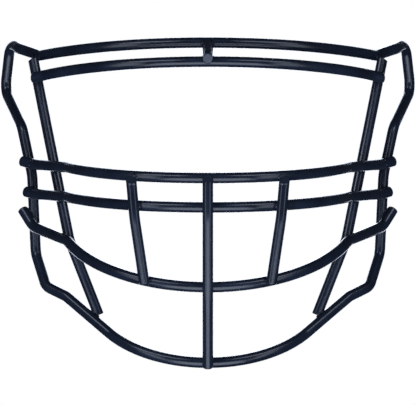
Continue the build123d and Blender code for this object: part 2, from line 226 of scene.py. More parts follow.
@dataclass
class GuardPlan:
    """Sizes and stations of every centre line, in millimetres, for the wearer's left half."""

    wire: Wire = field(default_factory=Wire)
    width: float = 241.4
    depth: float = 149.0
    height: float = 192.0
    eye_z: float = 14.3
    nose_z: float = -2.6
    jaw_z: float = -48.6
    chin_lift: float = 0.5
    brow_drop: float = 11.2
    foot_drop: float = 2.55
    brow_sag: float = 9.8
    jaw_back: float = 7.0
    chin_back: float = 29.0
    temple_recess: float = 45.0
    brow_recess: float = 46.2
    cheek_recess: float = 57.0
    cheek_inset: float = 36.0
    flare_inset: float = 16.1
    flare_recess: float = 30.0
    tail: float = 3.0
    brow_reach: float = -0.4
    brow_end_run: tuple[float, float, float] = (0.85, 0.5, -0.18)
    brow_lap: float = 9.0
    eye_rises: tuple[float, float] = (6.3, 8.1)
    nose_rises: tuple[float, float] = (6.1, 7.9)
    eye_tip_run: tuple[float, float, float] = (6.6, 5.15, 1.9)
    nose_tip_run: tuple[float, float, float] = (4.5, 3.5, 1.3)
    jaw_tip_run: tuple[float, float, float] = (6.3, 6.0, 10.0)
    jaw_run_back: float = 31.0
    jaw_run_rise: float = 8.1
    side_on_eye: float = 11.95
    side_on_nose: float = 8.45
    side_top_drop: float = 4.5
    side_end_drop: float = 8.4
    kink_drop: float = 7.0
    side_bend_rise: float = 27.2
    jaw_on_side: float = 0.9
    frame_on_eye: float = 5.4
    frame_on_nose: float = 3.5
    frame_on_jaw: float = 3.6
    side_on_chin: float = 50.7
    foot_lift: float = 0.7
    waist_rise: float = 1.9
    hip_rise: float = 19.1
    shoulder_rise: float = 30.0
    horn_mid_at: tuple[float, float, float] = (-7.9, 18.0, -3.1)
    horn_top_at: tuple[float, float, float] = (-2.3, -8.0, 0.2)
    side_corner_at: tuple[float, float, float] = (0.9, 2.2, -27.4)
    chin_corner_at: tuple[float, float, float] = (-61.6, 24.0, 15.9)
    jowl_at: tuple[float, float, float] = (-35.3, 20.0, 38.1)
    jowl_top_at: tuple[float, float, float] = (-23.6, 8.0, 43.8)
    short_x: tuple[float, float, float] = (41.8, 40.4, 34.6)
    short_end_drop: float = 2.3
    short_foot_drop: float = 1.6
    centre_end_drop: float = 0.5
    bend_drop: float = 6.0
    low_bend_drop: float = 8.0

    def __post_init__(self) -> None:
        """Works out the stations, from the cross bars inwards to the short uprights."""
        radius, pitch = self.wire.radius, self.wire.pitch
        self.side_x = self.width / 2 - radius
        self.back_y = self.depth / 2 - radius
        self.front_y = -self.depth / 2 + radius + pitch
        self.top_z = self.height / 2 - radius
        self.chin_z = -self.height / 2 + radius + self.chin_lift
        self.cheek_x = self.side_x - self.cheek_inset
        self.flare_x = self.side_x - self.flare_inset
        self._cross_bars()
        self._side_bar()
        self._jaw_and_frame()
        self._brow()
        self._uprights()

    def _cross_bars(self) -> None:
        """Eye bar and nose bar: front, cheek kink, flare kink and cut end."""
        self.eye = self._cheek_bar(self.eye_z, self.eye_rises, self.eye_tip_run)
        self.nose = self._cheek_bar(self.nose_z, self.nose_rises, self.nose_tip_run)

    def _cheek_bar(
        self, z: float, rises: tuple[float, float], tip_run: tuple[float, float, float]
    ) -> list[Vector]:
        """Stations of the eye bar or the nose bar.

        Args:
            z: Height on the centre plane.
            rises: Rise to each of the two kinks.
            tip_run: Cut end, from the second kink.

        Returns:
            Front, cheek kink, flare kink and cut end.
        """
        front = Vector((0, self.front_y, z))
        kink = Vector((self.cheek_x, front.y + self.cheek_recess, z + rises[0]))
        second = Vector((self.flare_x, kink.y + self.flare_recess, z + rises[1]))
        return [front, kink, second, second + Vector(tip_run)]

    def _side_bar(self) -> None:
        """Side bar: a straight run inside the eye bar and the nose bar, carried on to the brow."""
        pitch, inward = self.wire.pitch, Vector((-1, 0, 0))
        eye_dir, nose_dir = self.eye[2] - self.eye[1], self.nose[2] - self.nose[1]
        self.eye_seat = at_x(self.eye[1], self.eye[2], self.cheek_x + self.side_on_eye)
        self.nose_seat = at_x(self.nose[1], self.nose[2], self.cheek_x + self.side_on_nose)
        self.side_nose = against(self.nose_seat, nose_dir, self.eye_seat, inward, pitch)
        self.side_eye = against(self.eye_seat, eye_dir, self.side_nose, inward, pitch)
        self.side_nose = against(self.nose_seat, nose_dir, self.side_eye, inward, pitch)
        self.side_top = self._on_side(self.top_z - self.side_top_drop)
        self.side_end = self._on_side(self.top_z - self.side_end_drop)
        self.side_bend = self._on_side(self.jaw_z + self.side_bend_rise)
        self.side_dir = self.side_top - self.side_bend

    def _on_side(self, z: float) -> Vector:
        """Point of the side bar's straight run at a height."""
        return at_z(self.side_nose, self.side_eye, z)

    def _jaw_and_frame(self) -> None:
        """Jaw bar in front of the side bars, and the frame behind the ends of all three cross bars."""
        pitch, behind = self.wire.pitch, Vector((-1, 1, 0))
        jaw_run = Vector((self.flare_x - self.cheek_x, self.jaw_run_back, self.jaw_run_rise))
        self.jaw_at_side = self._on_side(self.side_bend.z + self.jaw_on_side)
        normal = jaw_run.cross(self.side_dir).normalized()
        self.jaw_seat = self.jaw_at_side + normal * (pitch if normal.x > 0 else -pitch)
        cheek = at_x(self.jaw_seat, self.jaw_seat + jaw_run, self.cheek_x)
        flare = at_x(self.jaw_seat, self.jaw_seat + jaw_run, self.flare_x)
        front = Vector((0, self.front_y + self.jaw_back, self.jaw_z))
        self.jaw = [front, cheek, flare, flare + Vector(self.jaw_tip_run)]

        eye_end, nose_end, jaw_end = (bar[3] - bar[2] for bar in (self.eye, self.nose, self.jaw))
        self.nose_end_seat = at_x(self.nose[2], self.nose[3], self.flare_x + self.frame_on_nose)
        self.jaw_end_seat = at_x(self.jaw[2], self.jaw[3], self.flare_x + self.frame_on_jaw)
        self.eye_end_seat = at_x(self.eye[2], self.eye[3], self.flare_x + self.frame_on_eye)
        self.frame_jaw = against(self.jaw_end_seat, jaw_end, self.nose_end_seat, behind, pitch)
        self.frame_nose = against(self.nose_end_seat, nose_end, self.frame_jaw, behind, pitch)
        self.frame_jaw = against(self.jaw_end_seat, jaw_end, self.frame_nose, behind, pitch)
        waist = at_z(self.frame_jaw, self.frame_nose, self.eye_z + self.waist_rise)
        hip = at_z(self.frame_jaw, self.frame_nose, self.jaw_z + self.hip_rise)
        self.frame_eye = against(self.eye_end_seat, eye_end, waist, behind, pitch)
        shoulder = at_z(waist, self.frame_eye, self.eye_z + self.shoulder_rise)

        self.kink_seat = self._on_side(self.top_z - self.kink_drop)
        horn_mid = Vector((self.side_x, self.kink_seat.y, self.top_z)) + Vector(self.horn_mid_at)
        self.temple = against(self.kink_seat, self.side_dir, horn_mid, behind, pitch)
        self.top_front = Vector((0, self.temple.y - self.temple_recess, self.top_z))
        horn_top = Vector((self.side_x, self.back_y, self.top_z)) + Vector(self.horn_top_at)
        corner = Vector((self.side_x, self.back_y, self.top_z)) + Vector(self.side_corner_at)
        self.chin_front = Vector((0, self.front_y + self.chin_back, self.chin_z))
        chin_corner = Vector((self.side_x, self.chin_front.y, self.chin_z)) + Vector(self.chin_corner_at)
        jowl = Vector((self.side_x, chin_corner.y, self.chin_z)) + Vector(self.jowl_at)
        jowl_top = Vector((self.side_x, jowl.y, self.chin_z)) + Vector(self.jowl_top_at)
        above = [self.temple, horn_mid, horn_top, corner, shoulder]
        self.frame_corners = above + [waist, hip, jowl_top, jowl, chin_corner]
        self.horn_run = horn_mid - self.temple
        self.shoulder_run = shoulder - waist
        self.waist_run = waist - hip
        self.chin_seat = at_x(chin_corner, jowl, self.side_x - self.side_on_chin)
        self.chin_dir = jowl - chin_corner
        self.side_chin = against(self.chin_seat, self.chin_dir, self.side_bend, -FORWARD, pitch)
        self.side_foot = at_z(self.side_bend, self.side_chin, self.side_chin.z + self.foot_lift)

    def _brow(self) -> None:
        """Brow bar, whose ends lie on the fronts of the side bars, and its strut to the top bar."""
        pitch = self.wire.pitch
        self.brow_at_side = self._on_side(self.top_z - self.brow_drop - self.brow_sag)
        self.brow_dir = Vector(self.brow_end_run).normalized()
        normal = self.brow_dir.cross(self.side_dir).normalized()
        self.brow_seat = self.brow_at_side + normal * (pitch if normal.dot(FORWARD) > 0 else -pitch)
        self.brow_kink = self.brow_seat - self.brow_dir * self.brow_lap
        self.brow_front = Vector((0, self.brow_kink.y - self.brow_recess, self.top_z - self.brow_drop))
        radius = self.wire.radius
        self.strut_lap = against(self.brow_front, RIGHTWARD, self.top_front, Vector((0, -1, 1)), radius)
        self.strut_dir = (self.strut_lap - self.top_front).normalized()
        self.strut_end = self.strut_lap + self.strut_dir * (2 * radius)

    def _uprights(self) -> None:
        """Centre wire and short uprights, in front of the eye, nose and jaw bars."""
        pitch, radius = self.wire.pitch, self.wire.radius
        eye, nose, jaw = self.eye[0], self.nose[0], self.jaw[0]
        self.centre_eye = against(eye, RIGHTWARD, nose, FORWARD, pitch)
        self.centre_nose = against(nose, RIGHTWARD, self.centre_eye, FORWARD, pitch)
        self.centre_eye = against(eye, RIGHTWARD, self.centre_nose, FORWARD, pitch)
        top = at_z(self.centre_nose, self.centre_eye, self.eye_z + radius)
        self.centre_end = at_z(self.centre_nose, self.centre_eye, self.eye_z - self.centre_end_drop)
        bend = at_z(self.centre_nose, self.centre_eye, self.nose_z - self.bend_drop)
        self.centre_jaw = against(jaw, RIGHTWARD, bend, FORWARD, pitch)
        low = at_z(bend, self.centre_jaw, self.jaw_z - self.low_bend_drop)
        self.centre_chin = against(self.chin_front, RIGHTWARD, low, FORWARD, pitch)
        foot = at_z(low, self.centre_chin, self.chin_z - self.foot_drop)
        self.centre_stations = [top, bend, low, foot]

        (at_eye, eye_dir), (at_nose, nose_dir), (at_jaw, jaw_dir) = (
            self.on_roll(bar[0], bar[1], x) for bar, x in zip((self.eye, self.nose, self.jaw), self.short_x)
        )
        self.short_base = [at_eye, at_nose, at_jaw]
        self.short_base_dirs = [eye_dir, nose_dir, jaw_dir]
        seat_eye = against(at_eye, eye_dir, at_nose, FORWARD, pitch)
        seat_nose = against(at_nose, nose_dir, seat_eye, FORWARD, pitch)
        seat_eye = against(at_eye, eye_dir, seat_nose, FORWARD, pitch)
        short_top = at_z(seat_nose, seat_eye, at_eye.z + radius)
        self.short_end = at_z(seat_nose, seat_eye, at_eye.z - self.short_end_drop)
        short_bend = at_z(seat_nose, seat_eye, self.nose_z - self.bend_drop)
        seat_jaw = against(at_jaw, jaw_dir, short_bend, FORWARD, pitch)
        self.short_seats = [seat_eye, seat_nose, seat_jaw]
        short_foot = at_z(short_bend, seat_jaw, at_jaw.z - self.short_foot_drop)
        self.short_stations = [short_top, short_bend, short_foot]

    def roll(self, front: Vector, kink: Vector) -> tuple[float, Vector]:
        """Radius and rising direction of the arc that leaves `front` along X and runs to `kink`."""
        rise = Vector((0, kink.y - front.y, kink.z - front.z))
        radius = (kink.x**2 + rise.length_squared - self.tail**2) / (2 * rise.length)
        return radius, rise.normalized()

    def on_roll(self, front: Vector, kink: Vector, x: float) -> tuple[Vector, Vector]:
        """Point and tangent of that arc at X = x."""
        radius, rise = self.roll(front, kink)
        turn = asin(x / radius)
        point = front + RIGHTWARD * x + rise * (radius * (1 - cos(turn)))
        return point, RIGHTWARD * cos(turn) + rise * sin(turn)

    def roll_end(self, front: Vector, kink: Vector) -> Vector:
        """Where that arc ends and its straight tail begins."""
        radius, rise = self.roll(front, kink)
        reach = (kink - front).dot(rise)
        turn = atan2(kink.x, radius - reach) - atan2(self.tail, radius)
        return self.on_roll(front, kink, radius * sin(turn))[0]

    def cross_line(self, stations: list[Vector]) -> CentreLine:
        """Left half of the eye, nose or jaw bar."""
        front, cheek, flare, tip = stations
        line = CentreLine([front])
        line.roll_to(self.roll_end(front, cheek), RIGHTWARD)
        line.bend_through([cheek, flare], [self.wire.easy, self.wire.tight], tip)
        return line

    def frame_line(self) -> CentreLine:
        """Left half of the closed frame, from the middle of the top bar to the chin."""
        tight, easy = self.wire.tight, self.wire.easy
        corners = self.frame_corners
        line = CentreLine([self.top_front])
        line.roll_to(self.roll_end(self.top_front, self.temple), RIGHTWARD)
        chin_end = self.roll_end(self.chin_front, corners[-1])
        radii = [tight, easy, tight, tight, tight, easy, tight, tight, tight, easy]
        line.bend_through(corners, radii, chin_end)
        line.roll_to(self.chin_front, chin_end - corners[-1])
        return line

    def brow_line(self) -> CentreLine:
        """Left half of the brow bar."""
        line = CentreLine([self.brow_front])
        line.roll_to(self.roll_end(self.brow_front, self.brow_kink), RIGHTWARD)
        line.bend_through([self.brow_kink], [self.wire.tight], self.brow_seat + self.brow_dir * self.tail)
        return line

    def bent_line(self, stations: list[Vector], radius: float) -> CentreLine:
        """Line through stations with one bend radius at every inner one."""
        line = CentreLine([stations[0]])
        line.bend_through(stations[1:-1], [radius] * (len(stations) - 2), stations[-1])
        return line


# ------------------------------------------------------------------ finishes
@dataclass(frozen=True)
class NylonCoat:
    """Fluid-bed nylon coat, dark navy, on shot-blasted steel wire.

    The powder melts into a thick even skin: glossy enough for a clear highlight along each wire, but
    with the faint orange peel and slow sags of a dipped coat. The skin draws back from cut edges, and
    every end's rim is painted lighter: partly the thinner coat there, partly a painted highlight. The real
    specks of unmelted powder are about 0.1 mm wide, so they are drawn as coarse as they need to be to show.
    """

    name: str = "nylon_coat_fluid_bed_navy"
    body: str = "171d2b"
    pale: str = "1f2838"
    # pale colour of the powder specks, and of the painted highlight on the rims of cut ends
    rim: str = "2a3446"
    roughness_low: float = 0.16
    roughness_high: float = 0.25
    peel_mm: float = 1.6
    sag_mm: float = 14.0
    speck_gap_mm: float = 1.4
    speck_edge: tuple[float, float] = (0.06, 0.12)
    speck_strength: float = 0.35
    shade_band: tuple[float, float] = (0.32, 0.68)
    gloss_band: tuple[float, float] = (0.3, 0.7)
    peel_depth: float = 0.10
    peel_height_mm: float = 0.2
    ior: float = 1.53

    def material(self) -> bpy.types.Material:
        """Builds the finish as a material on object coordinates.

        Returns:
            The material.
        """
        made = bpy.data.materials.new(self.name)
        made.use_nodes = True
        tree = made.node_tree
        tree.nodes.clear()
        place = add_node(tree, "ShaderNodeTexCoord").outputs["Object"]

        # slow change of shade where the coat ran a little thicker
        sag = add_node(
            tree, "ShaderNodeTexNoise",
            {"Vector": place, "Scale": 1 / (self.sag_mm * MM), "Detail": 3.0, "Roughness": 0.55},
        )
        sag_range = add_node(
            tree, "ShaderNodeMapRange",
            {"Value": sag.outputs[0], "From Min": self.shade_band[0], "From Max": self.shade_band[1]},
        )
        shade = add_node(
            tree, "ShaderNodeMix",
            {0: sag_range.outputs[0], 6: srgb(self.body), 7: srgb(self.pale)},
            data_type="RGBA",
        )
        # fine pale specks of unmelted powder
        specks = add_node(
            tree, "ShaderNodeTexVoronoi",
            {"Vector": place, "Scale": 1 / (self.speck_gap_mm * MM), "Randomness": 1.0},
        )
        speck_mask = add_node(
            tree, "ShaderNodeMapRange",
            {"Value": specks.outputs["Distance"], "From Min": self.speck_edge[0],
             "From Max": self.speck_edge[1], "To Min": self.speck_strength, "To Max": 0.0},
        )
        specked = add_node(
            tree, "ShaderNodeMix",
            {0: speck_mask.outputs[0], 6: shade.outputs[2], 7: srgb(self.rim)},
            data_type="RGBA",
        )
        # thin coat on the rims of the cut ends, painted lighter: partly the thinner coat, partly a painted
        # highlight along the rim
        rim = add_node(tree, "ShaderNodeAttribute", attribute_name="rim")
        rim_painted_highlight = add_node(
            tree, "ShaderNodeMix",
            {0: rim.outputs["Fac"], 6: specked.outputs[2], 7: srgb(self.rim)},
            data_type="RGBA",
        )
        # a little duller where the coat ran thicker, so the highlight wavers along a wire
        gloss = add_node(
            tree, "ShaderNodeMapRange",
            {"Value": sag.outputs[0], "From Min": self.gloss_band[0], "From Max": self.gloss_band[1],
             "To Min": self.roughness_low, "To Max": self.roughness_high},
        )
        # orange peel, which breaks up the edge of the highlight
        peel = add_node(
            tree, "ShaderNodeTexNoise",
            {"Vector": place, "Scale": 1 / (self.peel_mm * MM), "Detail": 2.0, "Roughness": 0.5},
        )
        bump = add_node(
            tree, "ShaderNodeBump",
            {"Height": peel.outputs[0], "Strength": self.peel_depth, "Distance": self.peel_height_mm * MM},
        )
        skin = add_node(
            tree, "ShaderNodeBsdfPrincipled",
            {"Base Color": rim_painted_highlight.outputs[2], "Roughness": gloss.outputs[0], "IOR": self.ior,
             "Normal": bump.outputs[0]},
        )
        add_node(tree, "ShaderNodeOutputMaterial", {"Surface": skin.outputs[0]})
        return made


# ------------------------------------------------------------------ geometry trees
@dataclass(frozen=True)
class RodTree:
    """Geometry Nodes tree that sweeps a coated wire along its centre line and cuts its two ends.

    The round section follows the line. Rings beyond a cut plane slide back onto it, the rim is rounded
    over by the coat, and the coat's thickness ripples slightly.
    """

    name: str = "coated_wire_sweep"
    merge_mm: float = 0.004

    def build(self) -> bpy.types.NodeTree:
        """Makes the tree.

        Returns:
            A geometry node group with named inputs.
        """
        tree = bpy.data.node_groups.new(self.name, "GeometryNodeTree")
        face = tree.interface
        face.new_socket("Centre Line", in_out="INPUT", socket_type="NodeSocketGeometry")
        for name in ("Radius", "End Round", "Ripple", "Ripple Length"):
            face.new_socket(name, in_out="INPUT", socket_type="NodeSocketFloat")
        for name in ("Sides", "Seed"):
            face.new_socket(name, in_out="INPUT", socket_type="NodeSocketInt")
        for name in ("Start Point", "Start Facing", "End Point", "End Facing"):
            face.new_socket(name, in_out="INPUT", socket_type="NodeSocketVector")
        face.new_socket("Coat", in_out="INPUT", socket_type="NodeSocketMaterial")
        face.new_socket("Wire", in_out="OUTPUT", socket_type="NodeSocketGeometry")
        given = add_node(tree, "NodeGroupInput").outputs

        rail = add_node(tree, "GeometryNodeMeshToCurve", {"Mesh": given["Centre Line"]})
        along = tree.nodes.new("GeometryNodeCaptureAttribute")
        along.capture_items.new("VECTOR", "Axis")
        along.capture_items.new("VECTOR", "Along")
        tree.links.new(rail.outputs[0], along.inputs["Geometry"])
        tree.links.new(add_node(tree, "GeometryNodeInputPosition").outputs[0], along.inputs["Axis"])
        tree.links.new(add_node(tree, "GeometryNodeInputTangent").outputs[0], along.inputs["Along"])
        section = add_node(
            tree, "GeometryNodeCurvePrimitiveCircle",
            {"Resolution": given["Sides"], "Radius": given["Radius"]}, mode="RADIUS",
        )
        tube = add_node(
            tree, "GeometryNodeCurveToMesh",
            {"Curve": along.outputs["Geometry"], "Profile Curve": section.outputs[0], "Fill Caps": True},
        )
        place = add_node(tree, "GeometryNodeInputPosition").outputs[0]
        out = add_node(
            tree, "ShaderNodeVectorMath", {0: place, 1: along.outputs["Axis"]}, operation="SUBTRACT"
        )
        out_unit = add_node(tree, "ShaderNodeVectorMath", {0: out.outputs[0]}, operation="NORMALIZE")
        radial = tree.nodes.new("GeometryNodeCaptureAttribute")
        radial.capture_items.new("VECTOR", "Outward")
        tree.links.new(tube.outputs[0], radial.inputs["Geometry"])
        tree.links.new(out_unit.outputs[0], radial.inputs["Outward"])

        shape = radial.outputs["Geometry"]
        for end in ("Start", "End"):
            beyond = self._beyond(tree, given[end + " Point"], given[end + " Facing"])
            over = add_node(tree, "ShaderNodeMath", {0: beyond, 1: 0.0}, operation="MAXIMUM")
            lean = add_node(
                tree, "ShaderNodeVectorMath",
                {0: along.outputs["Along"], 1: given[end + " Facing"]}, operation="DOT_PRODUCT",
            )
            slide = add_node(
                tree, "ShaderNodeMath", {0: over.outputs[0], 1: lean.outputs["Value"]}, operation="DIVIDE"
            )
            back = add_node(tree, "ShaderNodeMath", {0: slide.outputs[0], 1: -1.0}, operation="MULTIPLY")
            offset = add_node(
                tree, "ShaderNodeVectorMath",
                {0: along.outputs["Along"], "Scale": back.outputs[0]}, operation="SCALE",
            )
            moved = add_node(
                tree, "GeometryNodeSetPosition", {"Geometry": shape, "Offset": offset.outputs[0]}
            )
            shape = moved.outputs[0]

        rims = []
        for end in ("Start", "End"):
            beyond = self._beyond(tree, given[end + " Point"], given[end + " Facing"])
            rims.append(self._rim(tree, beyond, given["End Round"]))
        shrink = add_node(tree, "ShaderNodeMath", {0: rims[0], 1: rims[1]}, operation="MAXIMUM")
        inward = add_node(tree, "ShaderNodeMath", {0: shrink.outputs[0], 1: -1.0}, operation="MULTIPLY")
        pull = add_node(
            tree, "ShaderNodeVectorMath",
            {0: radial.outputs["Outward"], "Scale": inward.outputs[0]}, operation="SCALE",
        )
        rim_part = add_node(
            tree, "ShaderNodeMath", {0: shrink.outputs[0], 1: given["End Round"]}, operation="DIVIDE"
        )
        # how far into the rounded rim each point lies, which the coat material uses for its painted rim
        # highlight
        marked = add_node(
            tree, "GeometryNodeStoreNamedAttribute",
            {"Geometry": shape, "Name": "rim", "Value": rim_part.outputs[0]},
            data_type="FLOAT", domain="POINT",
        )
        rounded = add_node(
            tree, "GeometryNodeSetPosition", {"Geometry": marked.outputs[0], "Offset": pull.outputs[0]}
        )
        merged = add_node(
            tree, "GeometryNodeMergeByDistance",
            {"Geometry": rounded.outputs[0], "Distance": self.merge_mm * MM},
        )
        wave = add_node(
            tree, "ShaderNodeTexNoise",
            {"W": given["Seed"], "Detail": 2.0}, noise_dimensions="4D",
        )
        pace = add_node(tree, "ShaderNodeMath", {0: 1.0, 1: given["Ripple Length"]}, operation="DIVIDE")
        tree.links.new(pace.outputs[0], wave.inputs["Scale"])
        centred = add_node(tree, "ShaderNodeMath", {0: wave.outputs[0], 1: 0.5}, operation="SUBTRACT")
        depth = add_node(
            tree, "ShaderNodeMath", {0: centred.outputs[0], 1: given["Ripple"]}, operation="MULTIPLY"
        )
        swell = add_node(
            tree, "ShaderNodeVectorMath",
            {0: radial.outputs["Outward"], "Scale": depth.outputs[0]}, operation="SCALE",
        )
        rippled = add_node(
            tree, "GeometryNodeSetPosition", {"Geometry": merged.outputs[0], "Offset": swell.outputs[0]}
        )
        smooth = add_node(tree, "GeometryNodeSetShadeSmooth", {"Geometry": rippled.outputs[0]})
        real = add_node(tree, "GeometryNodeRealizeInstances", {"Geometry": smooth.outputs[0]})
        dressed = add_node(
            tree, "GeometryNodeSetMaterial", {"Geometry": real.outputs[0], "Material": given["Coat"]}
        )
        add_node(tree, "NodeGroupOutput", {0: dressed.outputs[0]})
        return tree

    @staticmethod
    def _beyond(tree: bpy.types.NodeTree, point: Source, facing: Source) -> bpy.types.NodeSocket:
        """Signed distance of each point past a cut plane."""
        place = add_node(tree, "GeometryNodeInputPosition").outputs[0]
        gap = add_node(tree, "ShaderNodeVectorMath", {0: place, 1: point}, operation="SUBTRACT")
        dot = add_node(tree, "ShaderNodeVectorMath", {0: gap.outputs[0], 1: facing}, operation="DOT_PRODUCT")
        return dot.outputs["Value"]

    @staticmethod
    def _rim(tree: bpy.types.NodeTree, beyond: Source, end_round: Source) -> bpy.types.NodeSocket:
        """How far the rounded rim draws in at each point."""
        reach = add_node(tree, "ShaderNodeMath", {0: beyond, 1: end_round}, operation="ADD")
        low = add_node(tree, "ShaderNodeMath", {0: reach.outputs[0], 1: 0.0}, operation="MAXIMUM")
        depth = add_node(tree, "ShaderNodeMath", {0: low.outputs[0], 1: end_round}, operation="MINIMUM")
        deep2 = add_node(
            tree, "ShaderNodeMath", {0: depth.outputs[0], 1: depth.outputs[0]}, operation="MULTIPLY"
        )
        round2 = add_node(tree, "ShaderNodeMath", {0: end_round, 1: end_round}, operation="MULTIPLY")
        left = add_node(
            tree, "ShaderNodeMath", {0: round2.outputs[0], 1: deep2.outputs[0]}, operation="SUBTRACT"
        )
        root = add_node(tree, "ShaderNodeMath", {0: left.outputs[0]}, operation="SQRT")
        return add_node(
            tree, "ShaderNodeMath", {0: end_round, 1: root.outputs[0]}, operation="SUBTRACT"
        ).outputs[0]


@dataclass(frozen=True)
class BeadTree:
    """Geometry Nodes tree that gives a weld ring the ripple of set metal under its coat."""

    name: str = "weld_ring_ripple"

    def build(self) -> bpy.types.NodeTree:
        """Makes the tree.

        Returns:
            A geometry node group with named inputs.
        """
        tree = bpy.data.node_groups.new(self.name, "GeometryNodeTree")
        face = tree.interface
        face.new_socket("Ring", in_out="INPUT", socket_type="NodeSocketGeometry")
        for name in ("Ripple", "Ripple Length"):
            face.new_socket(name, in_out="INPUT", socket_type="NodeSocketFloat")
        face.new_socket("Seed", in_out="INPUT", socket_type="NodeSocketInt")
        face.new_socket("Coat", in_out="INPUT", socket_type="NodeSocketMaterial")
        face.new_socket("Weld", in_out="OUTPUT", socket_type="NodeSocketGeometry")
        given = add_node(tree, "NodeGroupInput").outputs
        pace = add_node(tree, "ShaderNodeMath", {0: 1.0, 1: given["Ripple Length"]}, operation="DIVIDE")
        wave = add_node(
            tree, "ShaderNodeTexNoise",
            {"W": given["Seed"], "Scale": pace.outputs[0], "Detail": 1.0}, noise_dimensions="4D",
        )
        centred = add_node(tree, "ShaderNodeMath", {0: wave.outputs[0], 1: 0.5}, operation="SUBTRACT")
        proud = add_node(tree, "GeometryNodeInputNamedAttribute", {"Name": "proud"}, data_type="FLOAT")
        depth = add_node(
            tree, "ShaderNodeMath", {0: centred.outputs[0], 1: given["Ripple"]}, operation="MULTIPLY"
        )
        held = add_node(
            tree, "ShaderNodeMath", {0: depth.outputs[0], 1: proud.outputs[0]}, operation="MULTIPLY"
        )
        out = add_node(tree, "GeometryNodeInputNormal")
        swell = add_node(
            tree, "ShaderNodeVectorMath", {0: out.outputs[0], "Scale": held.outputs[0]}, operation="SCALE"
        )
        rippled = add_node(
            tree, "GeometryNodeSetPosition", {"Geometry": given["Ring"], "Offset": swell.outputs[0]}
        )
        smooth = add_node(tree, "GeometryNodeSetShadeSmooth", {"Geometry": rippled.outputs[0]})
        real = add_node(tree, "GeometryNodeRealizeInstances", {"Geometry": smooth.outputs[0]})
        dressed = add_node(
            tree, "GeometryNodeSetMaterial", {"Geometry": real.outputs[0], "Material": given["Coat"]}
        )
        add_node(tree, "NodeGroupOutput", {0: dressed.outputs[0]})
        return tree


def baked(
    name: str, source: bpy.types.Mesh, tree: bpy.types.NodeTree, values: dict[str, Any]
) -> bpy.types.Object:
    """Runs a mesh through a geometry tree and keeps the result as a plain mesh.

    Args:
        name: Name of the finished piece.
        source: The mesh that goes in.
        tree: The geometry tree.
        values: Input name to value.

    Returns:
        The finished object, at the origin.
    """
    raw = bpy.data.objects.new(name + "_raw", source)
    bpy.context.scene.collection.objects.link(raw)
    modifier = raw.modifiers.new("shape", "NODES")
    modifier.node_group = tree
    sockets = {item.name: item.identifier for item in tree.interface.items_tree if item.in_out == "INPUT"}
    for label, value in values.items():
        modifier[sockets[label]] = value
    graph = bpy.context.evaluated_depsgraph_get()
    mesh = bpy.data.meshes.new_from_object(raw.evaluated_get(graph))
    mesh.name = name
    bpy.data.objects.remove(raw)
    piece = bpy.data.objects.new(name, mesh)
    bpy.context.scene.collection.objects.link(piece)
    return piece


def installed(piece: bpy.types.Object, node: str) -> bpy.types.Object:
    """Puts a finished piece in the place of its CAD node."""
    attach(piece, BODY)
    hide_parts(node)
    LOG.info("%s: %d faces", piece.name, len(piece.data.polygons))
    return piece


# ------------------------------------------------------------------ wires
@dataclass(frozen=True)
class EndCut:
    """A cut end: a point of the axis in millimetres and the way the cut faces."""

    point: Vector
    facing: Vector

    def mirrored(self) -> "EndCut":
        """The same cut on the other side."""
        return EndCut(mirrored(self.point), mirrored(self.facing))


NO_CUT = EndCut(UPWARD * FAR_MM, UPWARD)


@dataclass
class WireShop:
    """Sweeps every wire of the guard with one tree and one coat."""

    plan: GuardPlan
    tree: bpy.types.NodeTree
    coat: bpy.types.Material
    sides: int = 36
    ripple: float = 0.07
    ripple_length: float = 16.0
    ripple_room: float = 0.015
    end_step: float = 0.12
    end_reach: float = 7.0

    def sweep(
        self, node: str, line: list[Vector], start: EndCut, end: EndCut, closed: bool = False, seed: int = 0
    ) -> bpy.types.Object:
        """Makes one wire and installs it.

        Args:
            node: The CAD node it stands for.
            line: Its centre line in millimetres.
            start: Cut at the line's first point.
            end: Cut at its last point.
            closed: True for a loop without ends.
            seed: Seed of its coat ripple.

        Returns:
            The installed piece.
        """
        points = line if closed else self._fine_ends(line)
        count = len(points)
        edges = [(i, i + 1) for i in range(count - 1)] + ([(count - 1, 0)] if closed else [])
        mesh = bpy.data.meshes.new(node + "_line")
        mesh.from_pydata([p * MM for p in points], edges, [])
        values = {
            "Radius": (self.plan.wire.radius - self.ripple_room) * MM,
            "End Round": self.plan.wire.end_round * MM,
            "Ripple": self.ripple * MM,
            "Ripple Length": self.ripple_length * MM,
            "Sides": self.sides,
            "Seed": seed,
            "Start Point": start.point * MM,
            "Start Facing": start.facing.normalized(),
            "End Point": end.point * MM,
            "End Facing": end.facing.normalized(),
            "Coat": self.coat,
        }
        return installed(baked(node + "_wire", mesh, self.tree, values), node)

    def _fine_ends(self, line: list[Vector]) -> list[Vector]:
        """The line with closely spaced points near both ends, for the cuts and their rims."""
        return self._fine_start(self._fine_start(line)[::-1])[::-1]

    def _fine_start(self, line: list[Vector]) -> list[Vector]:
        """The line with closely spaced points near its start."""
        fine, walked, index = [line[0]], 0.0, 0
        while walked < self.end_reach and index < len(line) - 1:
            a, b = line[index], line[index + 1]
            length = (b - a).length
            count = max(1, round(length / self.end_step))
            fine += [a.lerp(b, i / count) for i in range(1, count + 1)]
            walked += length
            index += 1
        return fine + line[index + 1 :]


def square_end(line: list[Vector]) -> EndCut:
    """Cut square across a line at its last point."""
    ahead = (line[-1] - line[-2]).normalized()
    return EndCut(line[-1], ahead)


@dataclass
class Frame:
    """Closed outer wire: top bar, horns, sides and chin bar."""

    shop: WireShop

    def build(self) -> None:
        """Sweeps the loop."""
        loop = self.shop.plan.frame_line().closed_across()
        self.shop.sweep("frame", loop, NO_CUT, NO_CUT, closed=True, seed=1)


